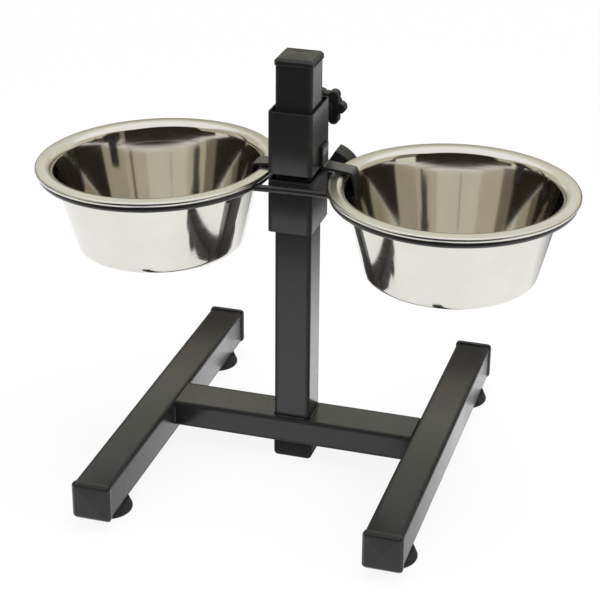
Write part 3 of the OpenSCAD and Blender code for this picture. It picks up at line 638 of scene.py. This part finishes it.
def star_outline(a):
    """The core's radius, or the far side of the nearest lobe: d cos(p) + sqrt(R^2 - d^2 sin^2 p) for a lobe
    of radius R at a distance d."""
    p = (a + np.pi / 6) % (np.pi / 3) - np.pi / 6
    root = LOBE_R ** 2 - (LOBE_AT * np.sin(p)) ** 2
    lobe = np.where(root > 0, LOBE_AT * np.cos(p) + np.sqrt(np.maximum(root, 0)), 0)
    return np.minimum(soft_max(lobe, np.full_like(a, CORE_R), 0.5), STAR_R)


def wing_outline(a):
    """Along a ray at angle p to the blade: the rim circle, or the blade's side where that is nearer, or the
    hub. A side starts at half the root's width and widens by k along the blade."""
    p = np.abs((a - math.radians(WING_TURN) + np.pi / 2) % np.pi - np.pi / 2)
    k = (WING_TIP - WING_ROOT) / 2 / WING_R
    gap = np.maximum(np.sin(p) - k * np.cos(p), 1e-3)
    blade = -soft_max(-WING_ROOT / 2 / gap, np.full_like(a, -WING_R), 1.0)
    return np.minimum(soft_max(np.minimum(blade, WING_R), np.full_like(a, HUB_R), 0.8), WING_R)


def knob(outline, y0, y1, z, soft, cols=360):
    """An outline pulled along Y from y0 to y1: rings move in by a quarter circle at both ends and close."""
    a = np.linspace(0, 2 * np.pi, cols, endpoint=False)
    t = np.linspace(0, np.pi / 2, 6)
    inset = np.concatenate([soft * (1 - np.sin(t)), soft * (1 - np.sin(t[::-1]))])
    y = np.concatenate([y0 + soft * (1 - np.cos(t)), y1 - soft * (1 - np.cos(t[::-1]))])
    r = outline(a)[None] - inset[:, None]
    inner = np.array([0.0, 0.35, 0.75])[:, None]
    r = np.concatenate([inner * r[:1], r, inner[::-1] * r[-1:]])
    y = np.concatenate([[y0] * 3, y, [y1] * 3])
    rub = np.concatenate([[0, 0, 0], np.sin(2 * t) * 0.8, np.sin(2 * t[::-1]) * 0.8, [0, 0, 0]])
    return surface(round_screw(r, y, a, z), edge=rub[:, None])


WING_Y, WING_END, STAR_Y, STAR_END = 60, 84, 66, 78
piece("wing_knob", knob_plastic, [knob(wing_outline, WING_Y, WING_END, WING_Z, 2.2)])
collar = np.array([[0, 60], [7.2, 60], [7.8, 60.3], [8, 61], [8, 66.5], [0, 66.5]])
piece("star_knob", knob_plastic, [knob(star_outline, STAR_Y, STAR_END, STAR_Z, 2.0),
                                  lathe(collar[:, 0], collar[:, 1], (CLAMP_X, 0, STAR_Z), (X, Z, Y),
                                        wrap_rows=False)])

# %% [markdown]
# The studs are zinc-plated and threaded. A thread is a wave on a rod that climbs one pitch with each turn:
# the radius depends on the height less the turned angle times the pitch. A bump map could fake it, but the
# stud shows between nut and knob from behind, so the ridges are real. The weld nuts are hexagons whose
# corners are turned off by a cone at both ends.

# %% plated steel
def make_metal(name, first, second, gloss):
    """Plated or turned metal: two tones by broad noise, broken gloss, fine scratches."""
    made = new_finish(name, Metallic=1.0)
    link(made, Base_Color=mixed(made, spread(made, noise(made, 180, 4), 0, 1), first, second),
         Roughness=spread(made, noise(made, 300, 4), *gloss),
         Normal=relief(made, noise(made, 2500, 2), 0.01, 0.4))
    return made


plated_steel = make_metal("plated_steel", (0.52, 0.52, 0.50), (0.64, 0.64, 0.63), (0.24, 0.42))
pad_brass = make_metal("pad_brass", (0.62, 0.47, 0.20), (0.72, 0.56, 0.27), (0.25, 0.4))
print("finishes", plated_steel.name, pad_brass.name)

# %% studs and nuts
STUD_R, THREAD_DEPTH, THREAD_PITCH = 4, 0.62, 1.25
TIP_Y, SHOULDER_Y, THREAD_Y, THREAD_END, STUD_END = 22.6, 26.5, 27.5, 68, 69.5
TIP_R, TIP_EDGE, SHOULDER_EDGE = 2.5, 0.3, 0.7
NUT_FLAT, NUT_T, NUT_HOLE, NUT_MOUTH = 6.5, 7.0, 4.07, 4.6


def stud(z, cols=40):
    """A plain tip, a shoulder, then a thread: r = radius - depth * |triangle wave of (y / pitch - angle /
    turn)|, where the depth fades to nothing at both ends of the thread."""
    a = np.linspace(0, 1, cols, endpoint=False)[None]
    y = np.arange(SHOULDER_Y, STUD_END, THREAD_PITCH / 8)
    wave = np.abs(2 * ((y[:, None] / THREAD_PITCH - a) % 1) - 1)
    fade = np.clip(np.minimum(y - THREAD_Y, THREAD_END - y) / THREAD_PITCH, 0, 1)
    shoulder = 0.4 * np.clip(SHOULDER_Y + SHOULDER_EDGE - y, 0, 1)
    thread = STUD_R - THREAD_DEPTH * fade[:, None] * wave - shoulder[:, None]
    tip = np.array([0, TIP_R - TIP_EDGE, TIP_R, TIP_R])[:, None]
    r = np.concatenate([np.broadcast_to(tip, (len(tip), cols)), thread, np.zeros((1, cols))])
    y = np.concatenate([[TIP_Y, TIP_Y, TIP_Y + TIP_EDGE, SHOULDER_Y], y, [STUD_END]])
    return surface(round_screw(r, y, a * 2 * np.pi, z))


def weld_nut(z, cols=120):
    """A hexagon r = flat / cos(angle in its sector), cut by a cone at both ends, with the thread's hole."""
    a = np.linspace(0, 2 * np.pi, cols, endpoint=False)[None]
    flat = NUT_FLAT / np.cos((a + np.pi / 6) % (np.pi / 3) - np.pi / 6)
    cone = np.array([[7.2, 0], [7.45, 0.2], [7.6, 0.6], [7.6, 6.1], [7.2, 6.6], [6.4, NUT_T]])
    hole = np.array([[NUT_MOUTH, NUT_T], [NUT_HOLE, NUT_T - 0.5], [NUT_HOLE, 0.5], [NUT_MOUTH, 0.0]])
    r = np.concatenate([np.minimum(flat, cone[:, :1]), np.broadcast_to(hole[:, :1], (len(hole), cols))])
    y = SLEEVE_D / 2 + np.concatenate([cone[:, 1], hole[:, 1]])
    return surface(round_screw(r, y, a, z), wrap_rows=True)


piece("wing_stud", plated_steel, [stud(WING_Z)], sharp=50)
piece("star_stud", plated_steel, [stud(STAR_Z)], sharp=50)
piece("carrier_nut", powder_coat, [weld_nut(WING_Z)], sharp=25)
piece("lock_nut", powder_coat, [weld_nut(STAR_Z)], sharp=25)

# %% [markdown]
# Six pieces are hidden or nearly so: the plastic guides inside the sleeves, the brass pads that press on the
# post, and the screws and washers in the wells of the feet. A finer surface would add nothing that can be
# seen, so they keep their solids and only take a finish: moulded plastic, turned brass and zinc plating.

# %% finishes on the solids that stay
for name, finish in (("carrier_guide", guide_plastic), ("lock_guide", guide_plastic), ("wing_pad", pad_brass),
                     ("star_pad", pad_brass), ("foot_screws", plated_steel), ("foot_washers", plated_steel)):
    solid = frame["nodes"][name]
    solid.data.materials.clear()
    solid.data.materials.append(finish)
    print("finish", finish.name, "on", name)

# %% [markdown]
# The studio is a white floor that runs out of sight, and a white surround. A photographer would roll out
# paper and bend it up behind the stand. Here both show as plain white to the camera and in the steel, so no
# horizon can be seen, while the floor keeps a part of the stand's soft shadow.

# %% floor and surround
def seen_directly(owner):
    """1 where a ray comes from the camera, a reflection or through glass, else 0."""
    path = node(owner, "LightPath").outputs
    total = reckoned(owner, path["Is Camera Ray"], path["Is Glossy Ray"], "MAXIMUM")
    return reckoned(owner, total, path["Is Transmission Ray"], "MAXIMUM")


def stage_finish(name):
    """A material with an empty node tree."""
    made = bpy.data.materials.new(name)
    made.use_nodes = True
    made.node_tree.nodes.clear()
    return made


def make_floor():
    """A white floor that shows mostly as plain white where it is seen directly. It keeps part of the shadow
    near the stand, and far away it is all plain white, so that no horizon shows."""
    made = stage_finish("floor_white")
    away = node(made, "VectorMath", operation="LENGTH", inputs={0: node(made, "TexCoord").outputs["Object"]})
    share = reckoned(made, seen_directly(made), spread(made, away.outputs["Value"], 0.89, 1.0, 0.6, 2.0))
    diffuse = node(made, "BsdfDiffuse", inputs={"Color": (0.86, 0.86, 0.86, 1)})
    mix = node(made, "MixShader", inputs={0: share, 1: diffuse.outputs[0],
                                          2: node(made, "Emission").outputs[0]})
    node(made, "OutputMaterial", inputs={"Surface": mix.outputs[0]})
    return made


def stage_sheet(name, corners, finish):
    """A flat sheet of the studio from its four corners in metres."""
    mesh = bpy.data.meshes.new(name)
    mesh.from_pydata(corners, [], [(0, 1, 2, 3)])
    mesh.materials.append(finish)
    made = bpy.data.objects.new(name, mesh)
    bpy.context.scene.collection.objects.link(made)
    return made


FLOOR_HALF, SURROUND_LIGHT, SURROUND_SEEN = 9, 0.50, 1.0
floor = stage_sheet("floor", [(x * FLOOR_HALF, y * FLOOR_HALF, 0)
                              for x, y in ((-1, -1), (1, -1), (1, 1), (-1, 1))], make_floor())
world = bpy.data.worlds.new("surround")
bpy.context.scene.world = world
world.use_nodes = True
surround = world.node_tree.nodes["Background"]
surround.inputs["Color"].default_value = (1, 1, 1, 1)
feed(world, surround.inputs["Strength"],
     spread(world, seen_directly(world), SURROUND_LIGHT, SURROUND_SEEN, 0, 1))
print("floor", floor.name, "and surround", world.name)

# %% [markdown]
# Polished steel shows the whole room, so large cards stand round the studio like its walls: light ones
# behind the stand and dark ones behind the camera, and two lie on the floor and fade in with distance. They
# are out of the camera's sight and cast no shadow. Product photographers place such cards too, and the
# alternative, a single bright surround, would leave the bowls without any shape.

# %% cards
def make_card(name, colour):
    """The finish of a card: it gives off its own colour and takes none of the lamps' light."""
    made = stage_finish(name)
    glow = node(made, "Emission", inputs={"Color": (*colour, 1)})
    node(made, "OutputMaterial", inputs={"Surface": glow.outputs[0]})
    return made


def card(name, centre, width, height, turn, lean, finish):
    """A sheet facing the stand: centre, size, its turn about the upright and its lean back, in degrees."""
    a, b = math.radians(turn), math.radians(lean)
    across = np.array([math.cos(a), math.sin(a), 0]) * width / 2
    up = np.array([math.sin(a) * math.sin(b), -math.cos(a) * math.sin(b), math.cos(b)]) * height / 2
    c = np.array(centre, float)
    made = stage_sheet(name, [c - across - up, c + across - up, c + across + up, c - across + up], finish)
    made.visible_camera = False
    made.visible_diffuse = False
    made.visible_shadow = False
    return made


def fade_card(finish, axis, start, end, most):
    """Lets a card fade in along one axis, from nothing at start to its full share at end, both in metres."""
    nodes = finish.node_tree.nodes
    place = node(finish, "SeparateXYZ", inputs={0: node(finish, "TexCoord").outputs["Object"]}).outputs[axis]
    mix = node(finish, "MixShader", inputs={0: spread(finish, place, 0, most, start, end),
                                            1: node(finish, "BsdfTransparent").outputs[0],
                                            2: nodes["Emission"].outputs[0]})
    feed(finish, nodes["Material Output"].inputs["Surface"], mix.outputs[0])
    return finish


ROOM_X, ROOM_FRONT, ROOM_BACK, ROOM_TOP, ROOM_LOW, ROOM_MID = 3.4, -3.4, 3.0, 3.6, 0.8, -0.4
SPLIT_Z, CORNER_AT_X, CORNER_AT_Y, LOW_X, PANEL_Y, PANEL_TOP = 1.38, -2.2, -2.3, 3.38, 2.96, 1.80
beige_card = make_card("beige_card", (0.745, 0.74, 0.625))
tan_card = make_card("tan_card", (0.46, 0.425, 0.33))
pale_card = make_card("pale_card", (0.98, 0.97, 0.92))
sand_card = make_card("sand_card", (0.60, 0.56, 0.45))
brown_card = make_card("brown_card", (0.22, 0.195, 0.15))
dark_card = make_card("dark_card", (0.026, 0.022, 0.015))
dim_front = fade_card(make_card("dim_front", (0.06, 0.06, 0.06)), "Y", -0.30, -0.70, 0.96)
dim_back = fade_card(make_card("dim_back", (0.05, 0.05, 0.05)), "Y", 0.28, 0.70, 0.97)


def wall(name, start, end, low, high, finish):
    """An upright card over the line between two floor points, from one height to another."""
    (x0, y0), (x1, y1) = start, end
    centre = (x0 + x1) / 2, (y0 + y1) / 2, (low + high) / 2
    turn = math.degrees(math.atan2(y1 - y0, x1 - x0))
    return card(name, centre, math.hypot(x1 - x0, y1 - y0), high - low, turn, 0, finish)


corners = [(-ROOM_X, ROOM_FRONT), (ROOM_X, ROOM_FRONT), (ROOM_X, ROOM_BACK), (-ROOM_X, ROOM_BACK)]
cards = [wall("horizon_%d" % k, corners[k - 1], corners[k], 0, ROOM_LOW, dark_card) for k in range(4)]
cards += [wall("room_back", corners[3], corners[2], SPLIT_Z, ROOM_TOP, beige_card),
          wall("low_back", corners[3], corners[2], ROOM_LOW, SPLIT_Z, tan_card),
          wall("room_front", (CORNER_AT_X, ROOM_FRONT), corners[1], ROOM_LOW, ROOM_TOP, dark_card),
          wall("front_corner", corners[0], (CORNER_AT_X, ROOM_FRONT), ROOM_LOW, ROOM_TOP, tan_card),
          wall("right_corner", corners[1], (ROOM_X, CORNER_AT_Y), ROOM_LOW, ROOM_TOP, dark_card),
          wall("room_front_right", (ROOM_X, CORNER_AT_Y), (ROOM_X, ROOM_MID), ROOM_LOW, ROOM_TOP, brown_card),
          wall("room_front_left", corners[0], (-ROOM_X, ROOM_MID), ROOM_LOW, ROOM_TOP, tan_card),
          card("floor_front", (0, -1.9, 0.002), 5.0, 2.8, 0, 90, dim_front),
          card("floor_back", (0.36, 1.2, 0.002), 0.68, 1.9, 0, 90, dim_back),
          wall("low_left", (-LOW_X, -2.8), (-LOW_X, -1.4), 0, ROOM_LOW, beige_card),
          wall("low_right", (LOW_X, CORNER_AT_Y), (LOW_X, -0.7), 0, ROOM_LOW, beige_card),
          wall("panel_right", (-0.30, PANEL_Y), (0.45, PANEL_Y), SPLIT_Z, PANEL_TOP, pale_card),
          wall("panel_left", (-2.10, PANEL_Y), (-1.55, PANEL_Y), SPLIT_Z, PANEL_TOP, pale_card),
          wall("pole_back", (0.30, 2.9), (0.38, 2.9), 1.5, 2.3, dark_card),
          wall("pole_left", (-3.3, 0.25), (-3.3, 0.55), ROOM_LOW, 2.6, dark_card)]
for name, x in (("left", -ROOM_X), ("right", ROOM_X)):
    cards.append(wall("room_" + name, (x, ROOM_MID), (x, ROOM_BACK), ROOM_LOW, ROOM_TOP, sand_card))
print("cards", [c.name for c in cards])

# %% [markdown]
# Three large lamps light the stand, as softboxes would: one overhead, one from the right and one from the
# left front. Small lamps would throw hard shadows and leave bright dots on the coat. These are kept out of
# reflections, because the cards already make what the steel shows.

# %% lamps
def soft_lamp(name, place, aim, size, power):
    """A square area lamp at a place, turned to its aim."""
    data = bpy.data.lights.new(name, "AREA")
    data.shape, data.size, data.energy = "SQUARE", size, power
    made = bpy.data.objects.new(name, data)
    bpy.context.scene.collection.objects.link(made)
    way = np.array(aim, float) - np.array(place, float)
    made.location = place
    made.rotation_euler = (math.atan2(math.hypot(way[0], way[1]), -way[2]), 0, math.atan2(-way[0], way[1]))
    made.visible_glossy = False
    return made


AIM = (0, 0, 0.2)
lamps = [soft_lamp("overhead", (0.2, 0.3, 2.4), AIM, 2.0, 53),
         soft_lamp("right_side", (2.2, -0.4, 1.2), AIM, 1.4, 26),
         soft_lamp("left_front", (-1.6, -1.6, 1.6), AIM, 1.2, 16)]
print("lamps", [lamp.name for lamp in lamps])

# %% [markdown]
# The camera stands where the photograph was taken from: its place, its turn and its lens were fitted to
# the corners of the base, the post and the sleeves.

# %% camera
CAMERA_AT, YAW, PITCH, ROLL, FOCAL = (506.9, -1696.9, 1038.5), 16.54, -25.608, 0.484, 1793.7
PHOTO_W, SENSOR = 600, 36
lens = bpy.data.cameras.new("camera")
lens.sensor_width = SENSOR
lens.lens = FOCAL / PHOTO_W * SENSOR
camera = bpy.data.objects.new("camera", lens)
bpy.context.scene.collection.objects.link(camera)
yaw, pitch, roll = (math.radians(v) for v in (YAW, PITCH, ROLL))
ahead = np.array([-math.sin(yaw) * math.cos(pitch), math.cos(yaw) * math.cos(pitch), math.sin(pitch)])
right = np.array([math.cos(yaw), math.sin(yaw), 0])
top = np.cross(right, ahead)
right, top = right * math.cos(roll) + top * math.sin(roll), top * math.cos(roll) - right * math.sin(roll)
turn = camera.matrix_world.to_3x3()
turn.col[0], turn.col[1], turn.col[2] = right, top, -ahead
camera.matrix_world = turn.to_4x4()
camera.location = np.array(CAMERA_AT) * MM
lens.clip_start, lens.clip_end = 0.05, 50
bpy.context.scene.camera = camera
bpy.context.scene.view_settings.view_transform = "Standard"
print("camera lens", round(lens.lens, 1))
